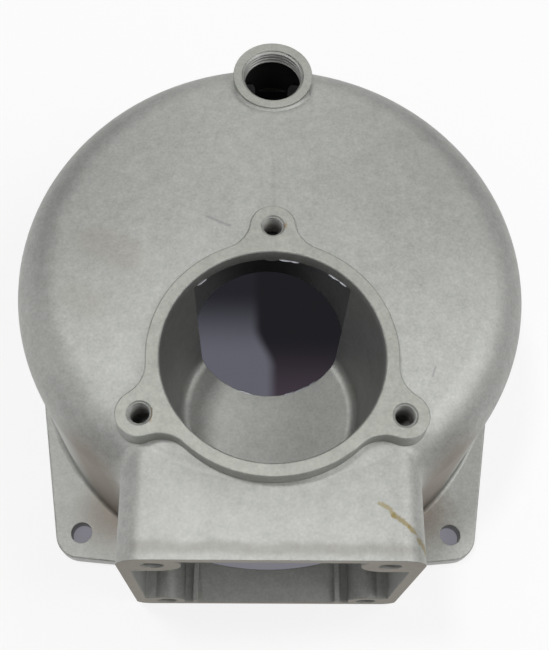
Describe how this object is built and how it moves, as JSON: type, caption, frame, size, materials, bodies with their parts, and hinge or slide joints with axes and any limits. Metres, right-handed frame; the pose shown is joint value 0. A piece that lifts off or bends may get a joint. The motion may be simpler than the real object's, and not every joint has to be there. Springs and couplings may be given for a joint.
{
  "type": "pump_housing",
  "caption": "cast aluminium pump housing: domed drum with offset suction bore and pad, threaded port, lugged back flange and a rectangular discharge neck",
  "frame": {"origin": "on the drum axis at the back flange face", "axes": "+Z along the drum axis out of the domed front face, -Y out of the discharge neck, +X to the right seen from the front"},
  "size_m": [0.247, 0.2595, 0.123],
  "materials": {
    "cast_aluminium": "bead-blasted, matt"
  },
  "bodies": {
    "root": {"pump_housing": "cast_aluminium"}
  },
  "joints": []
}
